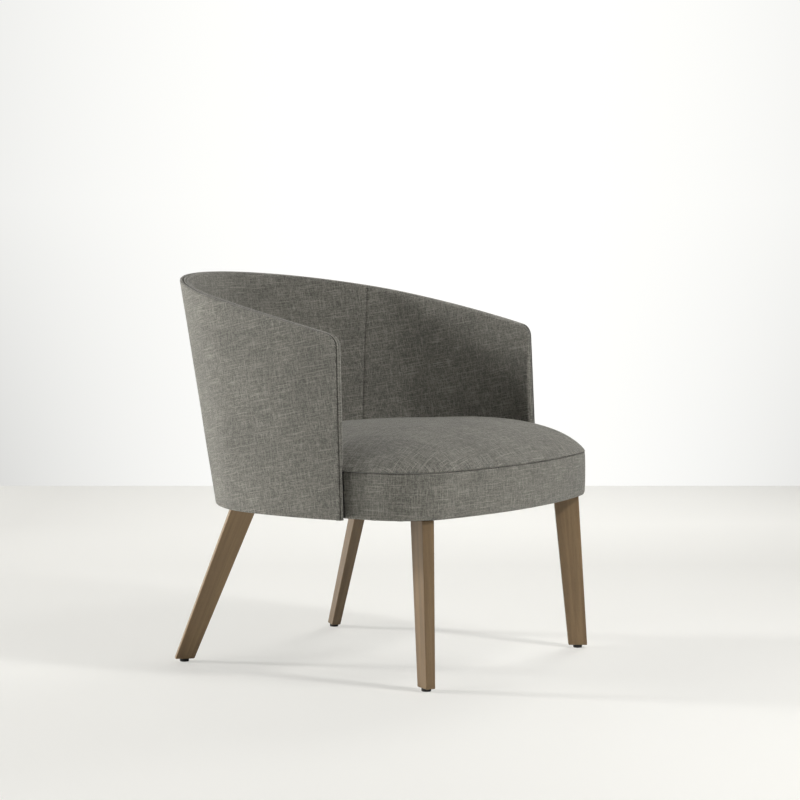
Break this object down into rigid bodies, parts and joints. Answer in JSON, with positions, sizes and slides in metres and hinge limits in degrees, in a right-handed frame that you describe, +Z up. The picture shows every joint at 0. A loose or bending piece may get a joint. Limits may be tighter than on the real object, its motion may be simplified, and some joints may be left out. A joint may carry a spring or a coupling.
{
  "type": "lounge chair",
  "caption": "Tub-shaped upholstered lounge chair with a leaning wrap-round back, domed fixed seat and splayed tapered wooden legs",
  "frame": {"origin": "on the floor, under the middle of the chair's box", "axes": "+X to the sitter's left, -Y to the front of the chair, +Z up"},
  "size_m": [0.6998, 0.6992, 0.7127],
  "materials": {
    "cover_fabric": "slub weave, matt",
    "wadding": "fleecy",
    "foam": "open cell foam",
    "webbing": "elastic webbing",
    "dust_cloth": "non-woven",
    "frame_wood": "sawn beech",
    "shell_plywood": "moulded plywood",
    "leg_wood": "stained, satin",
    "steel": "zinc plated",
    "glide_plastic": "moulded",
    "spacer_plastic": "moulded"
  },
  "bodies": {
    "root": {"outer_cover": "cover_fabric", "edge_band": "cover_fabric", "edge_gripper": "steel", "outer_wadding": "wadding", "back_shell": "shell_plywood", "back_foam": "foam", "inner_cover_back": "cover_fabric", "inner_cover_left": "cover_fabric", "inner_cover_right": "cover_fabric", "seat_top_cover": "cover_fabric", "seat_boxing": "cover_fabric", "seat_wadding": "wadding", "seat_foam": "foam", "seat_side_pad": "foam", "webbing_long": "webbing", "webbing_cross": "webbing", "rail_front": "frame_wood", "rail_back": "frame_wood", "rail_left": "frame_wood", "rail_right": "frame_wood", "corner_block_front_left": "frame_wood", "corner_block_front_right": "frame_wood", "corner_block_back_left": "frame_wood", "corner_block_back_right": "frame_wood", "block_screws": "steel", "shell_bolts": "steel", "shell_tee_nuts": "steel", "shell_spacers": "spacer_plastic", "dust_cover": "dust_cloth", "dust_cover_staples": "steel", "hem_staples": "steel", "leg_front_left": "leg_wood", "leg_front_right": "leg_wood", "leg_back_left": "leg_wood", "leg_back_right": "leg_wood", "hanger_bolts": "steel", "leg_tee_nuts": "steel", "glides": "glide_plastic", "glide_nails": "steel"}
  },
  "joints": []
}
